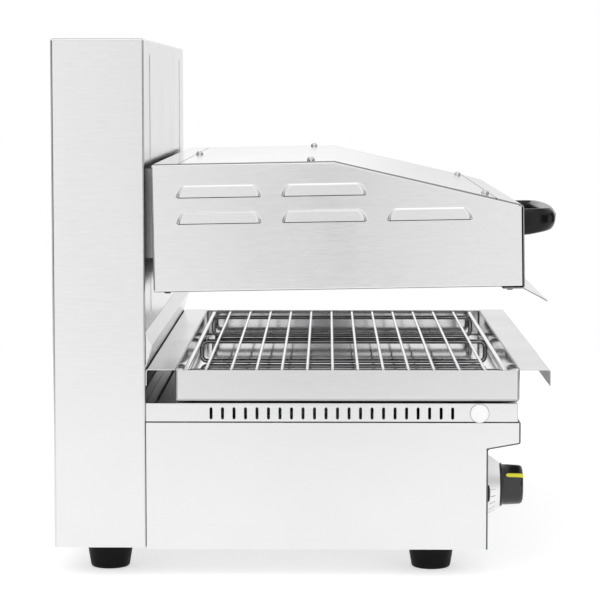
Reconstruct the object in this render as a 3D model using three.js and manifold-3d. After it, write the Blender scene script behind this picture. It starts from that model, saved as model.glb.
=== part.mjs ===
// Rise-and-fall salamander grill: a base with tray and rack, a rear column, and a counterweighted
// heating head that slides on it. Millimetres, +Z up, operator at -Y, origin under the middle.
import * as THREE from 'three';
import { mergeVertices } from 'three/addons/utils/BufferGeometryUtils.js';
import Module from 'manifold-3d';

const wasm = await Module();
wasm.setup();

// ---- driving dimensions ----
const WIDTH = 600;
const HALF = WIDTH / 2;
const DEPTH = 521; // column back to handle nose
const GLAND_OUT = 8; // how far the cable gland stands out behind
const GLAND_AT = [240, 0, 60]; // on the back panel, clear of the counterweight's lowest place
const TOP = 530;
const SHEET = 1.2;
const GAP = 0.3; // between neighbouring pieces
const INNER_HALF = HALF - SHEET - GAP;

const COLUMN_DEPTH = 91.3;
const COLUMN_BOTTOM = 28;
const SLOT_X = 225;
const SLOT_WIDTH = 6;
const SLOT_Z = [255, 515.6];

const BASE_Z = [26.4, 152.7];
const PANEL_FORWARD = 429; // face of the control panel
const BASE_FORWARD = 461; // brow over the control panel
const BROW_Z = 131.7;
const PANEL_TOP_Z = 126;

const DECK_HALF = 298.5;
const DECK_FORWARD = 458.4;
const DECK_TOP = 172;
const VENT_COUNT = 22;
const VENT_FIRST = 155.7;
const VENT_PITCH = 11.34;
const VENT_SIZE = [3, 12];
const VENT_Z = 161.9;

const TRAY_HALF = 298;
const TRAY_FORWARD = [122.7, 459.7];
const TRAY_FLANGE = [92.3, 489.5];
const TRAY_Z = [174.4, 202.7];
const TRAY_LIP_Z = 189;
const TRAY_SHEET = 1;

const HEAD_PITCH = THREE.MathUtils.degToRad(1); // the head sits nose-up
const HEAD_PIVOT = [99.8, 281.6]; // its lower rear corner: forward, height
const HEAD_DEPTH = 363;
const HEAD_REAR_HEIGHT = 125;
const HEAD_FRONT_HEIGHT = 79.5;
const HEAD_FLAT = 180; // level part of the top, before it slopes
const HEAD_SLOPE = (HEAD_REAR_HEIGHT - HEAD_FRONT_HEIGHT) / (HEAD_DEPTH - HEAD_FLAT);
const COVER_DROP = 2.5; // the cover lies this far under the side plates' edge

const KNOB_X = 228;
const KNOB_Z = 79;
const LAMP_X = 275;
const LAMP_Z = 78;

const PULLEY_X = 150;
const PULLEY_AT = [42, 492]; // forward, height of the pulley axles
const PULLEY_PITCH_RADIUS = 20;
const CABLE_RADIUS = 1.5;
const LUG_TOP = 345;

// ---- finishes ----
const FINISH = {
  steel: { color: 0xd9d9d6, roughness: 0.32, metalness: 1 },
  innerSteel: { color: 0xa9aaa8, roughness: 0.5, metalness: 1 },
  chrome: { color: 0xe2e2e2, roughness: 0.12, metalness: 1 },
  castIron: { color: 0x3d3e40, roughness: 0.7, metalness: 0.8 },
  element: { color: 0x55504b, roughness: 0.55, metalness: 0.7 },
  blackPlastic: { color: 0x161616, roughness: 0.25, metalness: 0 },
  whitePlastic: { color: 0xf2f2f0, roughness: 0.4, metalness: 0 },
  greyPlastic: { color: 0x7d8082, roughness: 0.5, metalness: 0 },
  rubber: { color: 0x1c1c1d, roughness: 0.8, metalness: 0 },
  wool: { color: 0xcfc8b4, roughness: 1, metalness: 0 },
  dial: { color: 0xc4c5c6, roughness: 0.28, metalness: 1 },
  lens: { color: 0xf4f1ea, roughness: 0.2, metalness: 0 },
};

// ---- shape helpers; "forward" is the distance towards the operator, which is -Y ----

/** A closed three.js geometry as a manifold solid. */
function solid(geometry) {
  const bare = geometry.clone();
  bare.deleteAttribute('normal');
  bare.deleteAttribute('uv');
  const merged = mergeVertices(bare, 1e-4);
  return new wasm.Manifold(new wasm.Mesh({
    numProp: 3,
    vertProperties: new Float32Array(merged.attributes.position.array),
    triVerts: new Uint32Array(merged.index.array),
  }));
}

/** A manifold solid as a three.js geometry. */
function geometryOf(shape) {
  const mesh = shape.getMesh();
  const geometry = new THREE.BufferGeometry();
  geometry.setAttribute('position', new THREE.BufferAttribute(mesh.vertProperties, 3));
  geometry.setIndex(new THREE.BufferAttribute(mesh.triVerts, 1));
  geometry.computeVertexNormals();
  return geometry;
}

/** A box between two x, two forward and two height values. */
function block([x0, x1], [f0, f1], [z0, z1]) {
  const box = new THREE.BoxGeometry(x1 - x0, f1 - f0, z1 - z0);
  box.translate((x0 + x1) / 2, -(f0 + f1) / 2, (z0 + z1) / 2);
  return solid(box);
}

/** Extrudes an outline, and lays its own three axes along the three given ones. */
function extruded(outline, from, to, right, up, along) {
  const shape = new THREE.Shape(outline.map(([a, b]) => new THREE.Vector2(a, b)));
  const geometry = new THREE.ExtrudeGeometry(shape, { depth: to - from, bevelEnabled: false });
  geometry.translate(0, 0, from);
  geometry.applyMatrix4(new THREE.Matrix4().makeBasis(right, up, along));
  return solid(geometry);
}

const AXIS = {
  x: new THREE.Vector3(1, 0, 0),
  y: new THREE.Vector3(0, 1, 0),
  z: new THREE.Vector3(0, 0, 1),
};

/** An outline of [forward, height] points, extruded across from x0 to x1. */
function across(outline, [x0, x1]) {
  return extruded(outline.map(([f, z]) => [-f, z]), x0, x1, AXIS.y, AXIS.z, AXIS.x);
}

/** An outline of [x, height] points, extruded from one forward value to another. */
function frontal(outline, [f0, f1]) {
  return extruded(outline.map(([x, z]) => [z, x]), -f1, -f0, AXIS.z, AXIS.x, AXIS.y);
}

/** An outline of [x, forward] points, extruded from one height to another. */
function plan(outline, [z0, z1]) {
  return extruded(outline.map(([x, f]) => [x, -f]), z0, z1, AXIS.x, AXIS.y, AXIS.z);
}

/** A profile of [radius, distance] points turned about an axis through [x, forward, height]. */
function turned(profile, axis, [x, forward, z], segments) {
  const points = profile.map(([r, d]) => new THREE.Vector2(r, d));
  const lathe = new THREE.LatheGeometry(points, segments);
  if (axis === 'up') lathe.rotateX(Math.PI / 2);
  if (axis === 'across') lathe.rotateZ(-Math.PI / 2);
  if (axis === 'forward') lathe.rotateX(Math.PI);
  lathe.translate(x, -forward, z);
  const shape = solid(lathe);
  return shape.volume() > 0 ? shape : solid(inverted(lathe));
}

/** The same surface turned inside out, for a lathe profile that was drawn the other way round. */
function inverted(geometry) {
  const flipped = geometry.toNonIndexed();
  const position = flipped.attributes.position;
  const corner = new THREE.Vector3();
  const other = new THREE.Vector3();
  for (let i = 0; i < position.count; i += 3) {
    corner.fromBufferAttribute(position, i + 1);
    other.fromBufferAttribute(position, i + 2);
    position.setXYZ(i + 1, other.x, other.y, other.z);
    position.setXYZ(i + 2, corner.x, corner.y, corner.z);
  }
  return flipped;
}

/** A round bar from one distance to another along an axis. */
function bar(radius, [from, to], axis, at, segments = 12) {
  return turned([[0, from], [radius, from], [radius, to], [0, to]], axis, at, segments);
}

/** A curve that keeps to the points it is given, so that steps fall where the bends are. */
class RoutedCurve extends THREE.Curve {
  constructor(points) {
    super();
    this.points = points;
  }

  getPointAt(u) {
    return this.points[Math.round(u * (this.points.length - 1))].clone();
  }

  getTangentAt(u) {
    const last = this.points.length - 1;
    const i = Math.round(u * last);
    const before = this.points[Math.max(i - 1, 0)];
    const after = this.points[Math.min(i + 1, last)];
    return after.clone().sub(before).normalize();
  }
}

/** A route of [x, forward, height] corners, each rounded to a radius by a few steps. */
function rounded(corners, radius, steps) {
  const at = corners.map(([x, f, z]) => new THREE.Vector3(x, -f, z));
  const points = [at[0]];
  for (let i = 1; i < at.length - 1; i += 1) {
    const back = at[i - 1].clone().sub(at[i]);
    const ahead = at[i + 1].clone().sub(at[i]);
    const reach = Math.min(radius, back.length() / 2, ahead.length() / 2);
    const arc = new THREE.QuadraticBezierCurve3(
      at[i].clone().addScaledVector(back.normalize(), reach),
      at[i],
      at[i].clone().addScaledVector(ahead.normalize(), reach),
    );
    points.push(...arc.getPoints(steps));
  }
  points.push(at[at.length - 1]);
  return points.filter((p, i) => i === 0 || p.distanceTo(points[i - 1]) > 0.01);
}

/** A round tube along a list of points. */
function tube(points, radius, sides) {
  const ring = [];
  for (let i = 0; i < sides; i += 1) {
    const angle = ((i + 0.5) / sides) * Math.PI * 2;
    ring.push(new THREE.Vector2(Math.cos(angle) * radius, Math.sin(angle) * radius));
  }
  return solid(new THREE.ExtrudeGeometry(new THREE.Shape(ring), {
    steps: points.length - 1,
    extrudePath: new RoutedCurve(points),
    bevelEnabled: false,
  }));
}

/** The outline of a sheet folded along [forward, height] points, with its thickness on the left. */
function folded(points, thickness) {
  const line = points.map(([f, z]) => new THREE.Vector2(f, z));
  const left = (a, b) => new THREE.Vector2(a.y - b.y, b.x - a.x).normalize();
  const offset = line.map((point, i) => {
    const before = i > 0 ? left(line[i - 1], point) : left(point, line[i + 1]);
    const after = i < line.length - 1 ? left(point, line[i + 1]) : before;
    const mitre = before.clone().add(after).normalize();
    return point.clone().addScaledVector(mitre, thickness / mitre.dot(before));
  });
  return [...line, ...offset.reverse()].map((p) => [p.x, p.y]);
}

const union = (...shapes) => shapes.reduce((whole, shape) => whole.add(shape));
const without = (shape, ...cutters) => cutters.reduce((rest, cutter) => rest.subtract(cutter), shape);

/** Puts a named mesh of a finish in a group. */
function piece(group, name, shape, finish) {
  const mesh = new THREE.Mesh(geometryOf(shape), new THREE.MeshStandardMaterial(FINISH[finish]));
  mesh.name = name;
  group.add(mesh);
}

const SIDES = [['left', -1], ['right', 1]];
const span = (side, near, far) => (side < 0 ? [-far, -near] : [near, far]);

// ---- column ----

function columnPanels(stand) {
  for (const [word, side] of SIDES) {
    piece(stand, `column_${word}_side`, block(
      span(side, HALF - SHEET, HALF), [0, COLUMN_DEPTH], [COLUMN_BOTTOM, TOP],
    ), 'steel');
  }
  const slots = SIDES.map(([, side]) => block(
    span(side, SLOT_X - SLOT_WIDTH / 2, SLOT_X + SLOT_WIDTH / 2),
    [COLUMN_DEPTH - 10, COLUMN_DEPTH + 10], SLOT_Z,
  ));
  const underTop = TOP - SHEET - GAP;
  piece(stand, 'column_front', without(
    block([-INNER_HALF, INNER_HALF], [COLUMN_DEPTH - SHEET, COLUMN_DEPTH], [BASE_Z[1], underTop]),
    ...slots,
  ), 'steel');
  piece(stand, 'column_top', block(
    [-INNER_HALF, INNER_HALF], [0, COLUMN_DEPTH], [TOP - SHEET, TOP],
  ), 'steel');
  const backVents = [];
  for (let i = 0; i < 9; i += 1) {
    const x = (i - 4) * 24;
    backVents.push(block([x - 2, x + 2], [-5, 5], [440, 480]));
  }
  backVents.push(bar(9, [-20, 20], 'forward', GLAND_AT, 16));
  piece(stand, 'column_back', without(
    block([-INNER_HALF, INNER_HALF], [0, SHEET], [30, underTop]), ...backVents,
  ), 'steel');
  piece(stand, 'splash_strip', across([
    [91.6, 242.6], [98, 227.8], [91.6, 206], [91.6, 209.4], [96.8, 227.7], [91.6, 239.8],
  ], [-TRAY_HALF, TRAY_HALF]), 'steel');
}

function cableGland(stand) {
  const profile = [
    [5, -GLAND_OUT], [8, -GLAND_OUT], [10, -5.5], [12, -5.5], [12, -GAP], [8.6, -GAP],
    [8.6, 8], [5, 8], [5, -GLAND_OUT],
  ];
  piece(stand, 'cable_gland', turned(profile, 'forward', GLAND_AT, 16), 'blackPlastic');
}

// ---- lift gear inside the column ----

function guideRails(stand) {
  for (const [word, side] of SIDES) {
    const outline = [
      [262, 1.8], [262, 79], [240, 79], [240, 77], [260, 77], [260, 54],
      [240, 54], [240, 52], [260, 52], [260, 1.8],
    ];
    piece(stand, `guide_rail_${word}`, plan(
      outline.map(([x, f]) => [side * x, f]), [240, 518],
    ), 'innerSteel');
  }
}

function pulleys(stand, lift) {
  const [forward, height] = PULLEY_AT;
  const groove = PULLEY_PITCH_RADIUS - CABLE_RADIUS - 0.2;
  for (const [word, side] of SIDES) {
    const x = side * PULLEY_X;
    const cheeks = [-1, 1].map((hand) => block(
      [x + hand * 9 - 1, x + hand * 9 + 1], [forward - 12, forward + 12], [height - 12, 528],
    ));
    piece(stand, `pulley_bracket_${word}`, union(
      ...cheeks,
      block([x - 10, x + 10], [forward - 12, forward + 12], [526, 528]),
      bar(4, [-12, 12], 'across', [x, forward, height], 10),
    ), 'innerSteel');
    piece(lift, `pulley_${word}`, turned([
      [4.5, -6], [9, -6], [9, -5], [22.8, -5], [groove, -2], [groove, 2], [22.8, 5],
      [9, 5], [9, 6], [4.5, 6], [4.5, -6],
    ], 'across', [x, forward, height], 18), 'innerSteel');
  }
}

function counterweights(lift) {
  const width = 98;
  const bottom = 142;
  const chamfer = 6;
  for (const [word, side] of SIDES) {
    const near = side * PULLEY_X - width / 2;
    const far = near + width;
    const outline = [
      [near + chamfer, bottom], [far - chamfer, bottom], [far, bottom + chamfer], [far, LUG_TOP - chamfer],
      [far - chamfer, LUG_TOP], [near + chamfer, LUG_TOP], [near, LUG_TOP - chamfer], [near, bottom + chamfer],
    ];
    piece(lift, `counterweight_${word}`, frontal(outline, [4, 40]), 'castIron');
  }
}

function liftCables(stand) {
  const [forward, height] = PULLEY_AT;
  const end = LUG_TOP + GAP;
  const turns = 10;
  for (const [word, side] of SIDES) {
    const x = side * PULLEY_X;
    const points = [new THREE.Vector3(x, -(forward + PULLEY_PITCH_RADIUS), end)];
    for (let i = 0; i <= turns; i += 1) {
      const angle = (i / turns) * Math.PI;
      points.push(new THREE.Vector3(
        x,
        -(forward + Math.cos(angle) * PULLEY_PITCH_RADIUS),
        height + Math.sin(angle) * PULLEY_PITCH_RADIUS,
      ));
    }
    points.push(new THREE.Vector3(x, -(forward - PULLEY_PITCH_RADIUS), end));
    piece(stand, `lift_cable_${word}`, tube(points, CABLE_RADIUS, 6), 'chrome');
  }
}

const ROLLER_HEIGHTS = [['lower', 318], ['upper', 388]];
const ROLLER_FORWARD = 65.5;

function carriage(lift) {
  const earInner = 200;
  const edge = 235;
  const shapes = [block([-edge, edge], [72, 75], [300, LUG_TOP])];
  for (const [, side] of SIDES) {
    shapes.push(block(span(side, earInner, edge), [72, 75], [300, 405]));
    shapes.push(block(span(side, edge - 3, edge), [56, 75], [300, 405]));
    const lug = [side * PULLEY_X - 10, side * PULLEY_X + 10];
    shapes.push(block(lug, [56, 73], [LUG_TOP - 10, LUG_TOP]));
    for (const [, z] of ROLLER_HEIGHTS) {
      const reach = side < 0 ? [-255, -edge + 1] : [edge - 1, 255];
      shapes.push(bar(4, reach, 'across', [0, ROLLER_FORWARD, z], 10));
    }
  }
  piece(lift, 'carriage', union(...shapes), 'innerSteel');
  for (const [word, side] of SIDES) {
    for (const [place, z] of ROLLER_HEIGHTS) {
      const profile = [[4.6, -5], [11.2, -5], [11.2, 5], [4.6, 5], [4.6, -5]];
      piece(lift, `guide_roller_${place}_${word}`, turned(
        profile, 'across', [side * 248, ROLLER_FORWARD, z], 16,
      ), 'greyPlastic');
    }
    const wall = side * (SLOT_X + 1.5);
    const face = side * (SLOT_X - 20);
    const inner = side * (SLOT_X - 1.5);
    piece(lift, `head_arm_${word}`, plan([
      [wall, 75.3], [wall, 96.6], [face, 96.6], [face, 94.6], [inner, 94.6],
      [inner, 77.3], [face, 77.3], [face, 75.3],
    ], [310, 400]), 'innerSteel');
  }
}

/** The lead's route, which hangs in a loop so that the head can rise. */
const LEAD_ROUTE = [
  [-80, 118, 42], [-80, 100, 42], [-80, 60, 40], [-80, 22, 64], [-80, 20, 190], [-65, 22, 214], [-50, 26, 190],
  [-48, 34, 110], [-14, 44, 66], [20, 54, 110], [20, 61, 200], [20, 61, 299.6],
];

function headLead(stand) {
  const spline = new THREE.CatmullRomCurve3(LEAD_ROUTE.map(([x, f, z]) => new THREE.Vector3(x, -f, z)));
  piece(stand, 'head_lead', tube(spline.getSpacedPoints(44), 5, 6), 'greyPlastic');
}

// ---- base ----

function basePanels(stand) {
  const outline = [
    [91.6, BASE_Z[0]], [PANEL_FORWARD, BASE_Z[0]], [PANEL_FORWARD, PANEL_TOP_Z],
    [BASE_FORWARD, BROW_Z], [BASE_FORWARD, BASE_Z[1]], [91.6, BASE_Z[1]],
  ];
  for (const [word, side] of SIDES) {
    piece(stand, `base_${word}_side`, across(outline, span(side, HALF - SHEET, HALF)), 'steel');
  }
  const holes = [];
  for (const [, side] of SIDES) {
    holes.push(bar(7, [-10, 10], 'forward', [side * KNOB_X, PANEL_FORWARD, KNOB_Z], 16));
    holes.push(bar(5, [-10, 10], 'forward', [side * LAMP_X, PANEL_FORWARD, LAMP_Z], 16));
  }
  const fold = [
    [PANEL_FORWARD - 14, 31.6], [PANEL_FORWARD, 31.6], [PANEL_FORWARD, PANEL_TOP_Z],
    [BASE_FORWARD, BROW_Z], [BASE_FORWARD, BASE_Z[1] - GAP], [BASE_FORWARD - 16, BASE_Z[1] - GAP],
  ];
  piece(stand, 'control_panel', without(
    across(folded(fold, SHEET), [-INNER_HALF, INNER_HALF]), ...holes,
  ), 'steel');
  piece(stand, 'base_floor', block(
    [-INNER_HALF, INNER_HALF], [SHEET + GAP, PANEL_FORWARD - SHEET - GAP], [28.3, 29.5],
  ), 'innerSteel');
}

function ventDeck(stand) {
  const rear = COLUMN_DEPTH + GAP;
  const shell = without(
    block([-DECK_HALF, DECK_HALF], [rear, DECK_FORWARD], [BASE_Z[1] + GAP, DECK_TOP]),
    block([-DECK_HALF + SHEET, DECK_HALF - SHEET], [rear - 5, DECK_FORWARD - SHEET],
      [BASE_Z[1] - 5, DECK_TOP - SHEET]),
  );
  const vents = [];
  const [width, tall] = VENT_SIZE;
  for (let i = 0; i < VENT_COUNT; i += 1) {
    const middle = VENT_FIRST + i * VENT_PITCH;
    for (const [, side] of SIDES) {
      vents.push(block(span(side, DECK_HALF - 5, DECK_HALF + 5),
        [middle - width / 2, middle + width / 2], [VENT_Z - tall / 2, VENT_Z + tall / 2]));
    }
  }
  const beads = SIDES.map(([, side]) => block(
    span(side, 190, 210), [125, 450], [DECK_TOP - 0.5, TRAY_Z[0] - GAP],
  ));
  piece(stand, 'vent_deck', without(union(shell, ...beads), ...vents), 'steel');
  for (const [word, side] of SIDES) {
    const reach = side < 0 ? [-DECK_HALF - 2.3, -DECK_HALF - GAP] : [DECK_HALF + GAP, DECK_HALF + 2.3];
    piece(stand, `side_plug_${word}`, bar(8.8, reach, 'across', [0, 420.4, 162], 20), 'whitePlastic');
  }
}

function feet(stand) {
  const profile = [[0, 0], [19, 0], [19.8, 1.2], [23.4, 25], [23.4, 28], [0, 28]];
  for (const [word, side] of SIDES) {
    for (const [place, forward] of [['rear', 51], ['front', 375]]) {
      piece(stand, `foot_${place}_${word}`, turned(profile, 'up', [side * 252, forward, 0], 16), 'rubber');
    }
  }
}

function controls(stand) {
  for (const [word, side] of SIDES) {
    const at = [side * KNOB_X, PANEL_FORWARD, KNOB_Z];
    piece(stand, `dial_skirt_${word}`, turned([
      [7, 0.3], [33, 0.3], [33, 1.5], [22.6, 16], [7, 16], [7, 0.3],
    ], 'forward', at, 28), 'dial');
    piece(stand, `knob_${word}`, turned([
      [0, -10], [4, -10], [4, 16.4], [22.2, 16.4], [22.2, 17.9], [21.1, 18.2],
      [19.8, 35], [18.6, 38], [15.5, 39], [0, 39],
    ], 'forward', at, 24), 'blackPlastic');
    const [x] = at;
    piece(stand, `regulator_${word}`, without(
      block([x - 22, x + 22], [PANEL_FORWARD - 42, PANEL_FORWARD - SHEET - GAP], [KNOB_Z - 24, KNOB_Z + 24]),
      bar(4.6, [-11, 5], 'forward', at, 12),
    ), 'greyPlastic');
    const lamp = [side * LAMP_X, PANEL_FORWARD, LAMP_Z];
    piece(stand, `pilot_lamp_${word}`, turned([
      [0, -18], [4.6, -18], [4.6, 0.3], [8.4, 0.3], [8.4, 3.4], [6.6, 5], [4.6, 5.6], [0, 6.2],
    ], 'forward', lamp, 20), 'lens');
  }
  piece(stand, 'terminal_block', block([-110, -50], [118.8, 142], [29.8, 54]), 'whitePlastic');
}

// ---- tray and rack ----

/** The tray's floor, front and rear walls and flanges, folded from one sheet. */
function trayTrough() {
  const rim = TRAY_Z[1] - TRAY_SHEET;
  const [rear, front] = TRAY_FORWARD;
  return across(folded([
    [TRAY_FLANGE[0] + TRAY_SHEET, TRAY_LIP_Z], [TRAY_FLANGE[0] + TRAY_SHEET, rim], [rear, rim],
    [rear, TRAY_Z[0]], [front, TRAY_Z[0]], [front, rim],
    [TRAY_FLANGE[1] - TRAY_SHEET, rim], [TRAY_FLANGE[1] - TRAY_SHEET, TRAY_LIP_Z],
  ], TRAY_SHEET), [-TRAY_HALF, TRAY_HALF]);
}

function tray(stand) {
  const ends = SIDES.map(([, side]) => block(
    span(side, TRAY_HALF - TRAY_SHEET, TRAY_HALF), TRAY_FORWARD, TRAY_Z,
  ));
  piece(stand, 'drip_tray', union(trayTrough(), ...ends), 'steel');
}

function rack(stand) {
  const thick = 2.5;
  const thin = 1.6;
  const top = 202.2;
  const reach = [-288, 288];
  const wires = [];
  for (const forward of [129.6, 447]) {
    wires.push(bar(thick, reach, 'across', [0, forward, top - thick], 8));
  }
  for (let i = 0; i < 12; i += 1) {
    wires.push(bar(thin, reach, 'across', [0, 149.6 + i * 25.2, top - thin], 6));
  }
  const upper = top - 2 * thin - thick + 1.1;
  const lower = TRAY_Z[0] + 1 + GAP + thick;
  const middle = 288;
  for (const x of [-262, 0, 262]) {
    for (const end of [130.3, 446.3]) {
      const overlap = middle + Math.sign(middle - end);
      const corners = [[x, overlap, upper], [x, end, upper], [x, end, lower], [x, overlap, lower]];
      wires.push(tube(rounded(corners, 6, 3), thick, 6));
    }
  }
  piece(stand, 'grill_rack', union(...wires), 'chrome');
}

// ---- heating head ----

/** One pressed louvre: an outward hood, open below. */
function louvre(side, [u0, u1], [w0, w1], grow) {
  const outline = [
    [u0 - grow, w0 - (grow > 0 ? 0 : 1)], [u1 + grow, w0 - (grow > 0 ? 0 : 1)],
    [u1 - 6 + grow, w1 + grow], [u0 + 6 - grow, w1 + grow],
  ];
  const stands = across(outline, span(side, HALF - SHEET - (grow > 0 ? 0 : 1), HALF + 5));
  const out = 3 + grow;
  const face = frontal([
    [side * (HALF - 3), w0 - 2], [side * (HALF + out), w0 - 2],
    [side * (HALF + out), w0], [side * HALF, w1 + grow], [side * (HALF - 3), w1 + grow],
  ], [u0 - 5, u1 + 5]);
  return stands.intersect(face);
}

const LOUVRES = [[24.7, 92.8], [127.8, 92.8], [24.7, 67.1], [127.8, 67.1], [231, 67.1]];
const LOUVRE_LENGTH = 82.2;
const LOUVRE_HEIGHT = 11;

function headSides(head) {
  const outline = [
    [0, 0], [HEAD_DEPTH, 0], [HEAD_DEPTH, HEAD_FRONT_HEIGHT],
    [HEAD_FLAT, HEAD_REAR_HEIGHT], [0, HEAD_REAR_HEIGHT],
  ];
  for (const [word, side] of SIDES) {
    let plate = across(outline, span(side, HALF - SHEET, HALF));
    for (const [u, w] of LOUVRES) {
      plate = plate.add(louvre(side, [u, u + LOUVRE_LENGTH], [w, w + LOUVRE_HEIGHT - 1], 1));
      plate = plate.subtract(louvre(side, [u, u + LOUVRE_LENGTH], [w, w + LOUVRE_HEIGHT - 1], 0));
    }
    piece(head, `head_${word}_side`, plate, 'steel');
  }
}

function headPanels(head) {
  const reach = [-INNER_HALF, INNER_HALF];
  const cover = HEAD_REAR_HEIGHT - COVER_DROP;
  const seam = 338; // where the cover meets the front panel's return
  const slopeAt = (u) => cover - (u - HEAD_FLAT) * HEAD_SLOPE;
  piece(head, 'head_back', across(folded([
    [14, 0.2], [0, 0.2], [0, cover], [26.7, cover],
  ], -SHEET), reach), 'steel');
  piece(head, 'head_top', across(folded([
    [27, cover], [HEAD_FLAT, cover], [seam - GAP, slopeAt(seam - GAP)],
  ], -SHEET), reach), 'steel');
  piece(head, 'head_front', across(folded([
    [seam, slopeAt(seam)], [HEAD_DEPTH, slopeAt(HEAD_DEPTH)], [HEAD_DEPTH, 0.2], [343, 0.2],
  ], -SHEET), reach), 'steel');
  piece(head, 'heat_deflector', across(folded([
    [344, -GAP], [HEAD_DEPTH - 1, -GAP], [386, -15.3],
  ], -SHEET), reach), 'steel');
}

function handle(head) {
  const half = 95;
  const root = HEAD_DEPTH + GAP;
  const bowAt = (x, depth, width) => root + depth * (1 - 0.16 * (x / width) ** 2);
  const outer = [];
  const inner = [];
  const steps = 8;
  for (let i = 0; i <= steps; i += 1) {
    const turn = (i / steps) * 2 - 1;
    outer.push([turn * (half - 9), bowAt(turn * (half - 9), 58.9, half)]);
    inner.push([turn * (half - 26), bowAt(turn * (half - 26), 41, half)]);
  }
  const ring = plan([[-half, root], [-half, root + 38], ...outer, [half, root + 38], [half, root]], [36, 65]);
  const gap = plan([[-half + 14, root - 5], [-half + 14, root + 24], ...inner,
    [half - 14, root + 24], [half - 14, root - 5]], [30, 70]);
  const side = across([
    [root, 36.6], [root + 30, 37.6], [root + 48, 41], [root + 57, 46.5], [root + 58.9, 52],
    [root + 57.5, 58], [root + 54, 62.6], [root + 48, 64.4], [root, 64.4],
  ], [-half - 5, half + 5]);
  piece(head, 'handle', without(ring, gap).intersect(side), 'blackPlastic');
}

const TERMINAL_X = 279;

function heating(head) {
  const pan = [12, 340];
  const shell = without(
    union(block([-285, 285], pan, [1.6, 50]), block([-INNER_HALF, INNER_HALF], [2, 342], [1.6, 2.6])),
    block([-284, 284], [13, 339], [-5, 49]),
  );
  const runs = 6;
  const first = 48;
  const pitch = 50;
  const exits = SIDES.flatMap(([, side]) => [first, first + (runs - 1) * pitch].map(
    (u) => bar(5.5, [40, 60], 'up', [side * TERMINAL_X, u, 0], 10),
  ));
  piece(head, 'reflector', without(shell, ...exits), 'innerSteel');
  piece(head, 'insulation', block([-268, 268], [14, 336], [50.4, 74]), 'wool');
  for (const [word, side] of SIDES) {
    const corners = [[side * TERMINAL_X, first, 66]];
    for (let i = 0; i < runs; i += 1) {
      const u = first + i * pitch;
      const ends = i % 2 === 0 ? [TERMINAL_X, 20] : [20, TERMINAL_X - 16];
      if (i === runs - 1) ends[1] = TERMINAL_X;
      if (i > 0 && i % 2 === 0) ends[0] = TERMINAL_X - 16;
      corners.push([side * ends[0], u, 22], [side * ends[1], u, 22]);
    }
    corners.push([side * TERMINAL_X, first + (runs - 1) * pitch, 66]);
    piece(head, `heating_element_${word}`, tube(rounded(corners, 20, 4), 4, 6), 'element');
  }
  const bars = [];
  for (const u of [16, 336]) bars.push(bar(1.8, [-282, 282], 'across', [0, u, 8], 6));
  for (let i = -5; i <= 5; i += 1) {
    bars.push(bar(1.8, [15, 337], 'forward', [i * 56, 0, 8], 6));
  }
  piece(head, 'element_guard', union(...bars), 'chrome');
}

// ---- assembly ----

const salamander = new THREE.Group();
const stand = new THREE.Group();
stand.position.y = (DEPTH + GLAND_OUT) / 2 - GLAND_OUT;
salamander.add(stand);
const head = new THREE.Group();
head.position.set(0, -HEAD_PIVOT[0], HEAD_PIVOT[1]);
head.rotation.x = -HEAD_PITCH;
stand.add(head);

columnPanels(stand);
cableGland(stand);
guideRails(stand);
pulleys(stand, stand);
counterweights(stand);
liftCables(stand);
carriage(stand);
headLead(stand);
basePanels(stand);
ventDeck(stand);
feet(stand);
controls(stand);
tray(stand);
rack(stand);
headSides(head);
headPanels(head);
handle(head);
heating(head);

export default salamander;
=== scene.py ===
"""Looks of a rise-and-fall salamander grill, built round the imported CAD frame.

Metres, +Z up, the operator stands at -Y, and the origin is on the floor under the middle.
"""

import math

import bmesh
import bpy
from mathutils import Matrix, Vector


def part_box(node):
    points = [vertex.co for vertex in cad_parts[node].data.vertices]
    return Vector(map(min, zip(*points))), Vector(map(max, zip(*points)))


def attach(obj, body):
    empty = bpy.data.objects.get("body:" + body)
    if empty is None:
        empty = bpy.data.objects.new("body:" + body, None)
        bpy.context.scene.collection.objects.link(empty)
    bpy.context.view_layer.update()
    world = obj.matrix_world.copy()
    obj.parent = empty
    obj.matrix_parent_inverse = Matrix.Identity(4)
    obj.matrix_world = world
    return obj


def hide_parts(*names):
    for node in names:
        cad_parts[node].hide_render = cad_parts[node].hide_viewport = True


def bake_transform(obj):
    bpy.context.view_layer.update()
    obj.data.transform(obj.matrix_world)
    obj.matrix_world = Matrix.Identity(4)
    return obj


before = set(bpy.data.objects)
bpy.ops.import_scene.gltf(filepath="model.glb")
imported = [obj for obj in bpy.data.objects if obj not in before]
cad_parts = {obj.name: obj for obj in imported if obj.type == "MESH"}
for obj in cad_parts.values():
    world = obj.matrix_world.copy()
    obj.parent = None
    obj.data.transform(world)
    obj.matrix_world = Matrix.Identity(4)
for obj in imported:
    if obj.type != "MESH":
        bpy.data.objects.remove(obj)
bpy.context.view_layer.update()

MM = 0.001
SHEET = 1.2 * MM
SIDES = (("left", -1), ("right", 1))
X, Y, Z = Vector((1, 0, 0)), Vector((0, 1, 0)), Vector((0, 0, 1))


class Box:
    """The box of a CAD node at rest, with its faces by name."""

    def __init__(self, node):
        low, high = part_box(node)
        self.x0, self.y0, self.z0 = low
        self.x1, self.y1, self.z1 = high
        self.middle = (low + high) / 2


BACK = Box("column_left_side").y1  # places from back to front are counted from here


# ---- shape helpers ----


def axes(origin, right, up):
    """A matrix that puts local X and Y along two given directions."""
    turned = Matrix((right, up, right.cross(up))).transposed()
    return Matrix.Translation(origin) @ turned.to_4x4()


SIDE_ON = axes((0, 0, 0), Y, Z)  # drawn as seen from the right side, with the back to the right


def upright(y):
    """The plane that faces the operator at a depth."""
    return axes((0, y, 0), X, Z)


def linked(name, data):
    piece = bpy.data.objects.new(name, data)
    bpy.context.scene.collection.objects.link(piece)
    return piece


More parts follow.
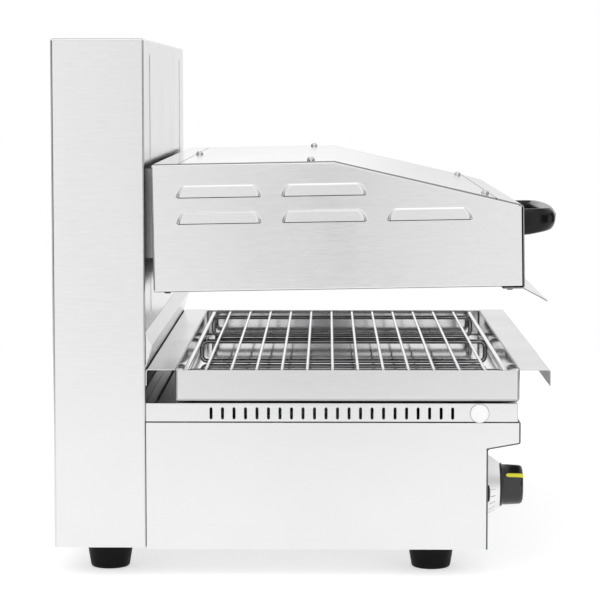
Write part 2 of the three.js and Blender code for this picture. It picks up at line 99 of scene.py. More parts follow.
def smoothed(mesh, smooth_to):
    """Smooth shading, with creases where faces meet at more than an angle in degrees."""
    mesh.shade_smooth()
    mesh.set_sharp_from_angle(angle=math.radians(smooth_to))
    return mesh


def from_bmesh(name, bm, smooth_to=38, outward=True):
    if outward:
        bmesh.ops.recalc_face_normals(bm, faces=bm.faces)
    mesh = bpy.data.meshes.new(name)
    bm.to_mesh(mesh)
    bm.free()
    return linked(name, smoothed(mesh, smooth_to))


def baked(piece):
    """A piece's mesh as its modifiers or its curve settings make it."""
    bpy.context.view_layer.update()
    return bpy.data.meshes.new_from_object(piece.evaluated_get(bpy.context.evaluated_depsgraph_get()))


def applied(piece, smooth_to=38):
    """The piece with its modifiers made part of its mesh."""
    mesh = baked(piece)
    mesh.name = piece.name
    piece.modifiers.clear()
    piece.data = smoothed(mesh, smooth_to)
    return piece


def skin(bm, rows, around=True):
    """Faces between rows of vertices; a row of one vertex is a pole, and the rows may be open."""
    for low, high in zip(rows, rows[1:]):
        count = max(len(low), len(high))
        for k in range(count if around else count - 1):
            a, b = low[k % len(low)], low[(k + 1) % len(low)]
            c, d = high[(k + 1) % len(high)], high[k % len(high)]
            corners = list(dict.fromkeys((a, b, c, d)))
            if len(corners) > 2:
                bm.faces.new(corners)


def flat_sheet(name, outlines, depth, matrix, edge=0.25 * MM):
    """An outline with holes, extruded by a depth about its plane, with every edge slightly rounded."""
    curve = bpy.data.curves.new(name, "CURVE")
    curve.dimensions = "2D"
    curve.fill_mode = "BOTH"
    curve.extrude = depth / 2 - edge
    curve.bevel_depth = edge
    curve.bevel_resolution = 2
    curve.offset = -edge
    for outline in outlines:
        spline = curve.splines.new("POLY")
        spline.points.add(len(outline) - 1)
        for point, (a, b) in zip(spline.points, outline):
            point.co = (a, b, 0, 1)
        spline.use_cyclic_u = True
    drawn = linked(name + "_outline", curve)
    bm = bmesh.new()
    bm.from_mesh(baked(drawn))
    bpy.data.objects.remove(drawn)
    bmesh.ops.remove_doubles(bm, verts=bm.verts, dist=1e-6)
    bmesh.ops.transform(bm, matrix=matrix, verts=bm.verts)
    return from_bmesh(name, bm)


def rounded(corners, radius, steps=4, closed=False):
    """A line of corner points with each corner rounded; works in two or three dimensions."""
    corners = [Vector(corner) for corner in corners]
    count = len(corners)
    points = []
    for i, corner in enumerate(corners):
        if not closed and i in (0, count - 1):
            points.append(corner)
            continue
        back = corners[i - 1] - corner
        ahead = corners[(i + 1) % count] - corner
        turn = math.pi - back.angle(ahead)
        if turn < 0.01:
            points.append(corner)
            continue
        reach = min(radius * math.tan(turn / 2), back.length * 0.49, ahead.length * 0.49)
        start = corner + back.normalized() * reach
        end = corner + ahead.normalized() * reach
        for k in range(steps + 1):
            t = k / steps
            points.append(start * (1 - t) ** 2 + corner * 2 * t * (1 - t) + end * t ** 2)
    return points


def folded(corners, thickness, radius, left=False):
    """The closed outline of a sheet folded along corner points, thick on one side of them."""
    line = rounded(corners, radius, 5)
    hand = 1 if left else -1
    offset = []
    for i, point in enumerate(line):
        before = (point - line[i - 1]).normalized() if i else (line[1] - point).normalized()
        after = (line[i + 1] - point).normalized() if i < len(line) - 1 else before
        along = (before + after).normalized()
        reach = thickness / max(along.dot(before), 0.3)
        offset.append(point + Vector((-along.y, along.x)) * reach * hand)
    return [tuple(p) for p in line + offset[::-1]]


def spokes(side, other, count, start=0.0):
    """Directions spread evenly round, from one side towards another at right angles to it."""
    turns = [2 * math.pi * (k + start) / count for k in range(count)]
    return [side * math.cos(turn) + other * math.sin(turn) for turn in turns]


def lathe(name, profile, at, axis, segments=64):
    """A profile of (radius, distance) points, in millimetres, turned about an axis through a point."""
    side = axis.orthogonal().normalized()
    round_axis = spokes(side, axis.cross(side), segments)
    bm = bmesh.new()
    rings = []
    for radius, distance in profile:
        centre = Vector(at) + axis * distance * MM
        spots = [centre + out * radius * MM for out in round_axis] if radius else [centre]
        rings.append([bm.verts.new(spot) for spot in spots])
    skin(bm, rings)
    return from_bmesh(name, bm)


def arc(centre, radius, start, end, steps):
    """Points on an arc, from one angle to another in degrees."""
    turns = [math.radians(start + (end - start) * k / steps) for k in range(steps + 1)]
    return [(centre[0] + radius * math.cos(t), centre[1] + radius * math.sin(t)) for t in turns]


TUBE_END = ((0.0, 0.62), (0.15, 0.9), (0.5, 1.0))  # distance in from the end and width, in radii


def add_tube(bm, points, radius, sides=12):
    """A round tube along points, with slightly domed ends."""
    points = [Vector(p) for p in points]
    tangents = []
    for i in range(len(points)):
        ahead = points[min(i + 1, len(points) - 1)]
        behind = points[max(i - 1, 0)]
        tangents.append((ahead - behind).normalized())
    normal = tangents[0].orthogonal().normalized()
    first = [(points[0] + tangents[0] * radius * inward, tangents[0], width) for inward, width in TUBE_END]
    last = [(points[-1] - tangents[-1] * radius * inward, tangents[-1], width) for inward, width in TUBE_END]
    between = [(point, tangent, 1.0) for point, tangent in zip(points[1:-1], tangents[1:-1])]
    rings = []
    for centre, tangent, width in first + between + last[::-1]:
        normal = (normal - tangent * normal.dot(tangent)).normalized()
        ring = spokes(normal, tangent.cross(normal), sides)
        rings.append([bm.verts.new(centre + out * radius * width) for out in ring])
    skin(bm, rings)
    bm.faces.new(rings[0][::-1])
    bm.faces.new(rings[-1])


def tubes(name, routes, sides=12):
    """One object of several tubes, each a list of points and a radius."""
    bm = bmesh.new()
    for points, radius in routes:
        add_tube(bm, points, radius, sides)
    return from_bmesh(name, bm, 50)


def lofted(name, rings, smooth_to):
    """A closed skin over a row of rings of points."""
    bm = bmesh.new()
    rows = [[bm.verts.new(p) for p in ring] for ring in rings]
    skin(bm, rows)
    bm.faces.new(rows[0][::-1])
    bm.faces.new(rows[-1])
    return from_bmesh(name, bm, smooth_to)


def bent_shell(name, outline, matrix, depth, dropped, radius, thickness=SHEET, bend=None, inner=None):
    """A box folded from sheet: an outline extruded along local Z, rounded, open where faces are dropped."""
    bm = bmesh.new()
    base = [bm.verts.new((a, b, 0)) for a, b in outline]
    lid = [bm.verts.new((a, b, depth)) for a, b in outline]
    bm.faces.new(base[::-1])
    bm.faces.new(lid)
    skin(bm, [base, lid])
    bmesh.ops.transform(bm, matrix=matrix, verts=bm.verts)
    bmesh.ops.recalc_face_normals(bm, faces=bm.faces)
    gone = [face for face in bm.faces if dropped(face.normal, face.calc_center_median())]
    bmesh.ops.delete(bm, geom=gone, context="FACES")
    folds = [edge for edge in bm.edges if len(edge.link_faces) == 2]
    bmesh.ops.bevel(bm, geom=folds, offset=radius, segments=5, profile=0.5, affect="EDGES", material=1)
    piece = from_bmesh(name, bm, outward=False)
    # Fold faces get the bend look, slightly darker than the sheet: painted shade in the creases.
    for look in (STEEL, bend or MILD_FOLD_SHADE) + ((inner, inner) if inner else ()):
        piece.data.materials.append(look)
    wall = piece.modifiers.new("wall", "SOLIDIFY")
    wall.thickness = thickness
    wall.offset = -1
    wall.use_even_offset = True
    wall.material_offset = 2 if inner else 0
    return applied(piece)


def cut(piece, cutters):
    """Cuts pieces out of a piece."""
    for tool in cutters:
        hole = piece.modifiers.new("hole", "BOOLEAN")
        hole.object = tool
        hole.operation = "DIFFERENCE"
        hole.solver = "EXACT"
    applied(piece)
    for tool in cutters:
        bpy.data.objects.remove(tool)


def stadium(centre, length, width):
    """The outline of a slot with round ends, standing up in its plane."""
    half = (length - width) / 2
    a, b = centre
    return arc((a, b + half), width / 2, 0, 180, 8) + arc((a, b - half), width / 2, 180, 360, 8)


def round_hole(centre, radius):
    return arc((centre.x, centre.z), radius, 0, 345, 23)


def rectangle(a0, a1, b0, b1, radius=0.0):
    corners = [(a0, b0), (a1, b0), (a1, b1), (a0, b1)]
    return [tuple(p) for p in rounded(corners, radius, 4, True)] if radius else corners


def cutter(outlines, depth, matrix):
    """Several outlines extruded as one object, for cutting."""
    bm = bmesh.new()
    for outline in outlines:
        low = [bm.verts.new((a, b, -depth / 2)) for a, b in outline]
        high = [bm.verts.new((a, b, depth / 2)) for a, b in outline]
        bm.faces.new(low[::-1])
        bm.faces.new(high)
        skin(bm, [low, high])
    bmesh.ops.transform(bm, matrix=matrix, verts=bm.verts)
    return from_bmesh("cutter", bm)


# ---- materials ----


class Nodes:
    """A node tree, with short ways to add to it."""

    def __init__(self, tree):
        self.tree = tree

    def feed(self, socket, value):
        if isinstance(value, bpy.types.NodeSocket):
            self.tree.links.new(value, socket)
        else:
            socket.default_value = value

    def node(self, kind, inputs=(), output=0, **settings):
        node = self.tree.nodes.new("ShaderNode" + kind)
        for key, value in settings.items():
            setattr(node, key, value)
        for key, value in dict(inputs).items():
            self.feed(node.inputs[key], value)
        return node.outputs[output]

    def math(self, operation, *values):
        return self.node("Math", enumerate(values), operation=operation)

    def vector(self, operation, *values, output=0):
        return self.node("VectorMath", enumerate(values), output, operation=operation)


class Shading(Nodes):
    """A material with one principled shader, and its nodes."""

    def __init__(self, name, **constants):
        self.material = bpy.data.materials.new(name)
        self.material.use_nodes = True
        super().__init__(self.material.node_tree)
        self.shader = self.tree.nodes["Principled BSDF"]
        for key, value in constants.items():
            self.shade(key.replace("_", " "), value)

    def place(self):
        return self.node("TexCoord", output="Object")

    def noise(self, stretch, detail=3.0, roughness=0.6):
        """Noise over the object's own coordinates, with a number of cells to the metre along each."""
        inputs = {"Vector": self.vector("MULTIPLY", self.place(), stretch), "Scale": 1.0}
        return self.node("TexNoise", inputs | {"Detail": detail, "Roughness": roughness})

    def ranged(self, value, low, high, start=0.0, end=1.0):
        inputs = {"Value": value, "From Min": start, "From Max": end, "To Min": low, "To Max": high}
        return self.node("MapRange", inputs)

    def mixed(self, share, first, second):
        mix = self.tree.nodes.new("ShaderNodeMix")
        mix.data_type = "RGBA"
        self.feed(mix.inputs[0], share)
        self.feed(mix.inputs[6], first)
        self.feed(mix.inputs[7], second)
        return mix.outputs[2]

    def shade(self, socket, value):
        self.feed(self.shader.inputs[socket], value)

    def bump(self, height, strength, distance):
        inputs = {"Height": height, "Strength": strength, "Distance": distance}
        self.shade("Normal", self.node("Bump", inputs))


def brushed_steel(name, tone, roughness, grain):
    """Satin sheet steel, with its grain level on upright faces and across the width on flat ones."""
    look = Shading(name, Metallic=1.0, Anisotropic=0.7)
    normal = look.node("NewGeometry", output="Normal")
    upward = look.node("SeparateXYZ", {0: normal}, "Z")
    flat = look.math("GREATER_THAN", look.math("ABSOLUTE", upward), 0.7)

    def streaks(lengthways, crossways):
        on_walls = (lengthways, lengthways, crossways)
        change = (0, crossways - lengthways, lengthways - crossways)
        return look.noise(look.vector("MULTIPLY_ADD", flat, change, on_walls), 2, 0.65)

    fine = streaks(70, 1500)
    broad = streaks(16, 420)
    smudge = look.noise((9, 9, 9))
    blend = look.math("MULTIPLY_ADD", fine, 0.75, look.math("MULTIPLY", broad, 0.25))
    low, high = tone * (1 - 0.07 * grain), tone * (1 + 0.05 * grain)
    look.shade("Base Color", look.ranged(blend, low, high, 0.3, 0.7))
    look.shade("Tangent", look.vector("MULTIPLY_ADD", flat, (0, 1, -1), (0, 0, 1)))
    worn = look.math("ADD", blend, smudge)
    look.shade("Roughness", look.ranged(worn, roughness * 0.82, roughness * 1.2, 0.7, 1.3))
    look.bump(fine, 0.05 * grain, 0.1 * MM)
    return look.material


def plain(name, colour, roughness, grain, bump, metallic=0.0, spread=0.12, **constants):
    """Moulded or cast stuff: one colour with a fine uneven surface."""
    look = Shading(name, Metallic=metallic, **constants)
    cells = look.noise((grain, grain, grain), 4)
    clouds = look.noise((grain / 22,) * 3)
    dark = tuple(c * (1 - spread) for c in colour) + (1,)
    light = tuple(min(c * (1 + spread), 1) for c in colour) + (1,)
    look.shade("Base Color", look.mixed(clouds, dark, light))
    look.shade("Roughness", look.ranged(clouds, roughness * 0.8, roughness * 1.2, 0.3, 0.7))
    look.bump(cells, bump, 0.1 * MM)
    return look.material


STEEL = brushed_steel("satin_steel", 0.778, 0.22, 0.5)
# Painted shade: the base's folds are nearly black, standing in for the shadow under and beside the body.
NEAR_BLACK_FOLD_SHADE = brushed_steel("base_fold_painted_shade", 0.11, 0.3, 0.4)
# Painted shade: the tray's folds are darker than its walls, for the shade where the walls turn.
TRAY_FOLD_SHADE = brushed_steel("tray_fold_painted_shade", 0.45, 0.25, 0.4)
SHADED_STEEL = brushed_steel("shaded_steel", 0.08, 0.35, 0.6)
# Painted shade: the reflector is darkened so that the tray below reflects shade rather than bright steel.
REFLECTOR_SHADE = brushed_steel("reflector_painted_shade", 0.34, 0.4, 1.0)
TRAY_INSIDE = brushed_steel("tray_inside", 0.88, 0.08, 0.3)
# Painted shade: folds elsewhere are slightly darker than the flat sheet.
MILD_FOLD_SHADE = brushed_steel("bend_steel", 0.74, 0.2, 0.5)
COVER_STEEL = brushed_steel("cover_steel", 0.81, 0.14, 0.4)
# Cut edges of sheet are duller than its face; this one is darkened further as painted shade at the cover's
# edges.
CUT_EDGE_SHADE = brushed_steel("cut_edge_painted_shade", 0.3, 0.4, 0.5)
TRAY_STEEL = brushed_steel("tray_steel", 0.69, 0.24, 0.5)
INNER_STEEL = brushed_steel("inner_steel", 0.62, 0.34, 1.4)
CHROME = plain("chrome_wire", (0.86, 0.86, 0.87), 0.09, 900, 0.04, 1.0, 0.03)
# Painted shade: the loops are the same chrome, darkened to stand for the shade that they reflect in the tray.
SHADED_LOOP_WIRE = plain("painted_shade_chrome", (0.42, 0.42, 0.43), 0.08, 900, 0.04, 1.0, 0.03)
ROPE = plain("wire_rope", (0.5, 0.5, 0.5), 0.35, 2600, 0.5, 1.0)
CAST_IRON = plain("cast_iron", (0.055, 0.057, 0.06), 0.6, 900, 0.45, 0.2)
SHEATH = plain("element_sheath", (0.11, 0.09, 0.075), 0.45, 700, 0.2, 0.75, 0.35)
BLACK_GLOSS = plain("black_gloss_plastic", (0.006, 0.006, 0.0065), 0.2, 1300, 0.04, Specular_IOR_Level=0.24)
BLACK_SATIN = plain("black_satin_plastic", (0.01, 0.01, 0.0105), 0.2, 1800, 0.06, Specular_IOR_Level=0.62)
RUBBER = plain("rubber", (0.006, 0.006, 0.0065), 0.5, 1500, 0.3, Specular_IOR_Level=0.1)
# Painted shade: black for faces turned to the column, for the shadow in the gap between head and column.
GAP_SHADE_BLACK = plain("painted_shade_black", (0.012, 0.012, 0.0125), 0.6, 1500, 0.2, Specular_IOR_Level=0.2)
WHITE_PLASTIC = plain("white_plastic", (0.97, 0.97, 0.97), 0.32, 1200, 0.05, spread=0.03)
GREY_PLASTIC = plain("grey_plastic", (0.3, 0.31, 0.32), 0.45, 1200, 0.1)
WOOL = plain("ceramic_wool", (0.72, 0.68, 0.58), 0.95, 420, 0.9, spread=0.2, Sheen_Weight=0.4)
LENS = plain("lamp_lens", (0.86, 0.84, 0.8), 0.14, 600, 0.02, spread=0.02, Coat_Weight=0.5)
YELLOW = plain("yellow_pointer", (0.88, 0.86, 0.04), 0.35, 1200, 0.05, spread=0.05)
SCREW_STEEL = plain("screw_steel", (0.6, 0.6, 0.6), 0.14, 1500, 0.03, 1.0, 0.05)
DARK_SCREW = plain("dark_screw", (0.08, 0.08, 0.085), 0.4, 1500, 0.1, 0.8)


def dressed(piece, body, look, slot, *replaced):
    """Gives a piece its first finish, the body that it rides on, and the CAD nodes that it stands for."""
    if len(piece.data.materials) > 1:
        piece.data.materials[0] = look
    else:
        piece.data.materials.clear()
        piece.data.materials.append(look)
    weighted = piece.modifiers.new("even_faces", "WEIGHTED_NORMAL")
    weighted.keep_sharp = True
    if body:
        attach(piece, body)
    if replaced:
        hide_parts(*replaced)


def steel(piece, body, *replaced, look=STEEL):
    dressed(piece, body, look, "body_steel", *replaced)


def by_face(piece, looks, choose):
    """Several looks on one piece, painted shade among them; choose gives a face's look from its normal."""
    for look in looks:
        piece.data.materials.append(look)
    for face in piece.data.polygons:
        face.material_index = looks.index(choose(face.normal))


def carried(node, look, bevel=0.4 * MM):
    """Keeps a CAD node, with softened edges and a better finish."""
    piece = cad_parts[node]
    piece.data.materials.clear()
    piece.data.materials.append(look)
    weld = piece.modifiers.new("weld", "WELD")
    weld.merge_threshold = 0.01 * MM
    edge = piece.modifiers.new("edge", "BEVEL")
    edge.width = bevel
    edge.segments = 2
    edge.limit_method = "ANGLE"
    edge.angle_limit = math.radians(40)
    edge.harden_normals = True


# ---- screws ----

SCREW_DOME = ((1.0, 0.0), (1.0, 0.18), (0.97, 0.38), (0.91, 0.57), (0.8, 0.76), (0.68, 0.89), (0.58, 0.95))


def screw_head(bm, at, out, size, height):
    """A pan head with a cross recess, standing out from a surface."""
    side = out.orthogonal().normalized()
    other = out.cross(side)
    arm, reach = 0.12 * size, 0.56 * size
    rings = []
    for share, rise in SCREW_DOME:
        spots = [at + spoke * share * size + out * rise * height for spoke in spokes(side, other, 32, 0.5)]
        rings.append([bm.verts.new(spot) for spot in spots])
    cross = []
    for quarter in range(4):
        turn = Matrix.Rotation(quarter * math.pi / 2, 2)
        for a, b in ((reach, -arm), (reach, arm), (arm, arm)):
            cross.append(turn @ Vector((a, b)))
    top = [bm.verts.new(at + side * p.x + other * p.y + out * height * 0.95) for p in cross]
    floor = [bm.verts.new(at + (side * p.x + other * p.y) * 0.8 + out * height * 0.35) for p in cross]
    skin(bm, rings)
    skin(bm, [floor, top])
    bm.faces.new(floor)
    bm.faces.new(rings[0][::-1])
    borders = [bm.edges.get((loop[k - 1], loop[k])) for loop in (rings[-1], top) for k in range(len(loop))]
    bmesh.ops.triangle_fill(bm, edges=borders, use_beauty=True)


def screws(name, places, body, look, size, height):
    """Several screw heads as one piece; places are (point, direction) pairs."""
    bm = bmesh.new()
    for at, out in places:
        screw_head(bm, at, out, size, height)
    dressed(from_bmesh(name, bm, 30), body, look, "body_steel")


# ---- camera, light and floor ----

FLOOR_RADIUS = 1.6


def camera():
    data = bpy.data.cameras.new("camera")
    data.lens = 134.66
    data.sensor_width = 36
    data.shift_y = -0.06
    data.clip_end = 50
    seen = linked("camera", data)
    seen.location = (-2.4923, -0.0140, 0.4834)
    yaw, pitch, roll = math.radians(0.704), math.radians(-4.528), math.radians(-0.033)
    ahead = Vector((math.cos(pitch) * math.cos(yaw), math.cos(pitch) * math.sin(yaw), math.sin(pitch)))
    seen.rotation_mode = "QUATERNION"
    seen.rotation_quaternion = ahead.to_track_quat("-Z", "Y") @ Matrix.Rotation(roll, 3, "Z").to_quaternion()
    bpy.context.scene.camera = seen


def light_above():
    data = bpy.data.lights.new("light_above", "AREA")
    data.shape = "SQUARE"
    data.size = 2.4
    data.energy = 8
    light = linked("light_above", data)
    light.location = (-0.5, -0.4, 3.0)
    light.rotation_mode = "QUATERNION"
    light.rotation_quaternion = (-light.location).to_track_quat("-Z", "Y")


def studio():
    """A white tent that is darker in some directions, a soft light above, and a white floor."""
    scene = bpy.context.scene
    scene.view_settings.view_transform = "Standard"
    scene.world = bpy.data.worlds.new("studio")
    scene.world.use_nodes = True
    tent = Nodes(scene.world.node_tree)
    direction = tent.node("TexCoord", output="Generated")
    along, sideways, height = (tent.node("SeparateXYZ", {0: direction}, axis) for axis in "XYZ")
    aside, level = tent.math("ABSOLUTE", sideways), tent.math("ABSOLUTE", height)

    def step(value, start, end):
        inputs = {"Value": value, "From Min": start, "From Max": end}
        return tent.node("MapRange", inputs, interpolation_type="SMOOTHSTEP")

    def times(first, *others):
        for other in others:
            first = tent.math("MULTIPLY", first, other)
        return first

    rearward = times(step(sideways, 0.34, 0.46), step(sideways, 0.98, 0.93))
    forward = times(step(sideways, -0.56, -0.66), step(sideways, -0.98, -0.93))
    flag = times(tent.math("ADD", rearward, forward), step(level, 0.42, 0.3))
    grid = times(step(sideways, -0.14, -0.22), step(sideways, -0.6, -0.5), step(height, 0.78, 0.86))
    beyond = times(step(along, 0.1, 0.3), step(height, 0.26, 0.34), step(height, 0.9, 0.8))
    beyond = times(beyond, step(aside, 0.38, 0.28))
    lens = times(step(aside, 0.026, 0.0), step(level, 0.2, 0.1), step(along, 0.0, -0.5))
    back = times(step(sideways, -0.02, -0.06), step(level, 0.09, 0.05), step(along, 0.8, 0.9))
    dark = 0.0
    for zone, share in ((flag, 0.92), (lens, 0.95), (beyond, 0.8), (grid, 0.6), (back, 0.14)):
        dark = tent.math("MAXIMUM", times(zone, share), dark)
    beside_lens = times(step(aside, 0.1, 0.2), step(aside, 0.5, 0.4), step(along, 0.2, -0.2))
    lit = times(tent.math("MULTIPLY_ADD", beside_lens, 0.22, 0.98), tent.math("SUBTRACT", 1.0, dark))
    seen = tent.node("LightPath", output="Is Camera Ray")
    background = tent.tree.nodes["Background"].inputs
    tent.feed(background["Strength"], tent.math("MAXIMUM", lit, seen))
    tent.feed(background["Color"], (1, 1, 1, 1))
    light_above()

    look = Shading("floor_white", Roughness=0.7, Emission_Color=(1, 1, 1, 1), Emission_Strength=0.53)
    look.shade("Base Color", look.ranged(look.noise((40, 40, 40)), 0.70, 0.72))
    bm = bmesh.new()
    bmesh.ops.create_circle(bm, cap_ends=True, segments=96, radius=FLOOR_RADIUS)
    floor = from_bmesh("floor", bm)
    floor.data.materials.append(look.material)


# ---- column ----

SLOT_X = 225 * MM
SLOT_WIDTH = 6 * MM
COLUMN_FOLD = 2.6 * MM
BACK_FLANGE = 14 * MM


def column():
    side, face, back = Box("column_left_side"), Box("column_front"), Box("column_back")
    half = -side.x0
    outline = rectangle(-half, half, side.y0, side.y1)
    shell = bent_shell("column_shell", outline, Matrix.Translation((0, 0, side.z0)), side.z1 - side.z0,
                       lambda normal, centre: normal.z < -0.5, COLUMN_FOLD)
    slot_low, slot_high = 255 * MM, 515.6 * MM
    slot_z, slot_length = (slot_low + slot_high) / 2, slot_high - slot_low
    slots = [stadium((sign * SLOT_X, slot_z), slot_length, SLOT_WIDTH) for _, sign in SIDES]
    clear = half - COLUMN_FOLD - 2 * MM
    below = rectangle(-clear, clear, side.z0 - 10 * MM, face.z0, 1 * MM)
    tray = Box("drip_tray")
    behind_tray = rectangle(-half + 7 * MM, half - 7 * MM, tray.z0 + 11 * MM, tray.z1 + 3.6 * MM)
    inner = half - BACK_FLANGE
    opening = rectangle(-inner, inner, side.z0 - 10 * MM, side.z1 - BACK_FLANGE, 3 * MM)
    cut(shell, [
        cutter(slots, 12 * MM, upright(side.y0)),
        cutter([below, behind_tray], 12 * MM, upright(side.y0)),
        cutter([opening], 12 * MM, upright(side.y1)),
    ])
    steel(shell, "stand", "column_left_side", "column_right_side", "column_front", "column_top")

    vents = [stadium(((i - 4) * 24 * MM, 460 * MM), 40 * MM, 4 * MM) for i in range(9)]
    gland = Box("cable_gland").middle
    vents.append(round_hole(gland, 8.8 * MM))
    panel_half = half - 4 * MM
    outline = rectangle(-panel_half, panel_half, back.z0, back.z1 - 4 * MM, 2 * MM)
    panel_plane = upright(side.y1 - SHEET - 0.7 * MM)
    panel = flat_sheet("column_back_panel", [outline] + vents, 1.0 * MM, panel_plane)
    steel(panel, "stand", "column_back")
    rows = [side.z0 + (side.z1 - side.z0) * share for share in (0.06, 0.34, 0.62, 0.9)]
    on_panel = side.y1 - SHEET - 0.2 * MM
    screw_x = half - BACK_FLANGE - 8 * MM
    places = [(Vector((sign * screw_x, on_panel, z)), Y) for _, sign in SIDES for z in rows]
    screws("column_back_screws", places, "stand", SCREW_STEEL, 3.6 * MM, 1.3 * MM)

    strip = Box("splash_strip")
    nose = strip.z0 + 21.8 * MM
    profile = [(strip.y1, strip.z0 + 1.6 * MM), (strip.y0, nose), (strip.y1, strip.z1)]
    outline = folded(profile, 1.0 * MM, 3 * MM)
    fold = flat_sheet("splash_strip_fold", [outline], strip.x1 - strip.x0, SIDE_ON, 0.15 * MM)
    steel(fold, "stand", "splash_strip")
    corners = [(strip.y1, strip.z0 + 2 * MM), (strip.y0 + 0.6 * MM, nose), (strip.y1, strip.z1 - 1 * MM)]
    for word, sign in SIDES:
        plane = axes((sign * (strip.x1 - 0.6 * MM), 0, 0), Y, Z)
        end = flat_sheet(f"splash_strip_end_{word}", [corners], 1.0 * MM, plane, 0.2 * MM)
        steel(end, "stand", "splash_strip")


def gland():
    box = Box("cable_gland")
    at = Vector((box.middle.x, box.y1, box.middle.z))
    body = lathe("cable_gland_body", [
        (5.2, 0.2), (6.6, 0), (7.6, -0.6), (8.2, -2.6), (10.4, -3.0), (10.8, -3.4), (12, -3.6), (12, -7.6),
        (8.4, -7.7), (8.4, -15.6), (5.0, -15.8), (5.0, -1), (5.2, 0.2),
    ], at, Y, 48)
    dressed(body, "stand", BLACK_SATIN, "black_plastic", "cable_gland")


# ---- lift gear ----


def lift_gear():
    for word, _ in SIDES:
        for node in ("guide_rail", "pulley_bracket", "head_arm"):
            carried(f"{node}_{word}", INNER_STEEL, 0.3 * MM)
        carried(f"counterweight_{word}", CAST_IRON, 1.5 * MM)
        wheel = Box(f"pulley_{word}")
        rim = (wheel.z1 - wheel.z0) / 2 / MM
        groove = 18.3
        profile = [(4.5, -6), (8.6, -6), (9, -5.6), (9, -5), (rim - 0.5, -5), (rim, -4.4)]
        profile += [(groove + 1.6, -1.9), (groove, 0), (groove + 1.6, 1.9)]
        profile += [(rim, 4.4), (rim - 0.5, 5), (9, 5), (9, 5.6), (8.6, 6), (4.5, 6), (4.5, -6)]
        turned = lathe(f"pulley_wheel_{word}", profile, wheel.middle, X, 56)
        dressed(turned, f"pulley_{word}", INNER_STEEL, "inner_steel", f"pulley_{word}")
        for place in ("lower", "upper"):
            name = f"guide_roller_{place}_{word}"
            tyre = [(4.6, -5), (10.4, -5), (11.2, -4.2), (11.2, 4.2), (10.4, 5), (4.6, 5), (4.6, -5)]
            turned = lathe(name + "_tyre", tyre, Box(name).middle, X, 48)
            dressed(turned, f"roller_{place}_{word}", GREY_PLASTIC, "grey_plastic", name)
        cables(word)
    carried("carriage", INNER_STEEL, 0.3 * MM)


def cables(word):
    """A lift rope: its wrap over the pulley, and a run down to the head and to the counterweight."""
    rope = Box(f"lift_cable_{word}")
    radius = 1.5 * MM
    x = rope.middle.x
    front, rear = rope.y0 + radius, rope.y1 - radius
    reach = (rear - front) / 2
    axle = Vector((x, (front + rear) / 2, rope.z1 - radius - reach))
    turns = [math.pi * k / 24 for k in range(25)]
    wrap = [axle + Vector((0, -math.cos(turn), math.sin(turn))) * reach for turn in turns]
    piece = tubes(f"lift_rope_wrap_{word}", [(wrap, radius)])
    dressed(piece, "stand", ROPE, "wire_rope", f"lift_cable_{word}")
    for end, y, body in (("head", front, "head"), ("weight", rear, f"counterweight_{word}")):
        top, bottom = Vector((x, y, axle.z)), Vector((x, y, rope.z0))
        run = [top.lerp(bottom, k / 30) for k in range(31)]
        piece = tubes(f"lift_rope_{end}_{word}", [(run, radius)])
        dressed(piece, None, ROPE, "wire_rope", f"lift_cable_{word}")
        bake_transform(piece)


def head_lead():
    """The lead inside the column, in a loop so that the head can rise."""
    route = [(-80, 118, 42), (-80, 100, 42), (-80, 60, 40), (-80, 22, 64), (-80, 20, 190), (-65, 22, 214),
             (-50, 26, 190), (-48, 34, 110), (-14, 44, 66), (20, 54, 110), (20, 61, 200), (20, 61, 299.6)]
    corners = [Vector((x * MM, BACK - forward * MM, z * MM)) for x, forward, z in route]
    points = []
    ends = corners[:1] + corners + corners[-1:]
    for before, a, b, after in zip(ends, ends[1:], ends[2:], ends[3:]):
        for k in range(8):
            t = k / 8
            points.append(0.5 * (2 * a + (b - before) * t + (2 * before - 5 * a + 4 * b - after) * t ** 2
                                 + (3 * a - before - 3 * b + after) * t ** 3))
    points.append(corners[-1])
    piece = tubes("head_lead_loop", [(points, 5 * MM)], 16)
    dressed(piece, None, GREY_PLASTIC, "grey_plastic", "head_lead")
    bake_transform(piece)


# ---- base ----

BASE_FOLD = 1.7 * MM
BROW_REACH = 32 * MM  # from the brow's front back to the face that holds the controls


def base():
    side, panel = Box("base_left_side"), Box("control_panel")
    half = -side.x0
    face_y = panel.y0 + BROW_REACH
    brow_z, panel_top = 131.7 * MM, 126 * MM
    outline = [(side.y1, side.z0), (face_y, side.z0), (face_y, panel_top), (side.y0, brow_z),
               (side.y0, side.z1), (side.y1, side.z1)]
    # The base's folds take the near-black fold look: painted shade along its edges.
    shell = bent_shell(
        "base_shell", outline, axes((-half, 0, 0), Y, Z), 2 * half,
        lambda normal, centre: max(normal.y, normal.z) > 0.5 or (normal.z < -0.9 and centre.z < brow_z / 2),
        BASE_FOLD, bend=NEAR_BLACK_FOLD_SHADE)
    holes = []
    for word, _ in SIDES:
        dial, lamp = Box(f"dial_skirt_{word}").middle, Box(f"pilot_lamp_{word}").middle
        holes.append(round_hole(dial, 7 * MM))
        holes.append(round_hole(lamp, 5 * MM))
    cut(shell, [cutter(holes, 12 * MM, upright(face_y))])
    steel(shell, "stand", "base_left_side", "base_right_side", "control_panel")
    carried("base_floor", INNER_STEEL, 0.3 * MM)
    places = [(Vector((sign * (half - 9 * MM), BACK - forward * MM, side.z0 + 1.9 * MM)), -Z)
              for _, sign in SIDES for forward in (123, 337)]
    screws("base_floor_screws", places, "stand", WHITE_PLASTIC, 4.2 * MM, 3.4 * MM)


DECK_SEAM = 0.8 * MM  # the dark joint between the deck and the base
RUNNER_X = 200 * MM
RUNNER_HALF = 10 * MM
RUNNER_HEIGHT = 1 * MM
VENT_COUNT = 22
VENT_FIRST = 155.7 * MM
VENT_PITCH = 11.34 * MM


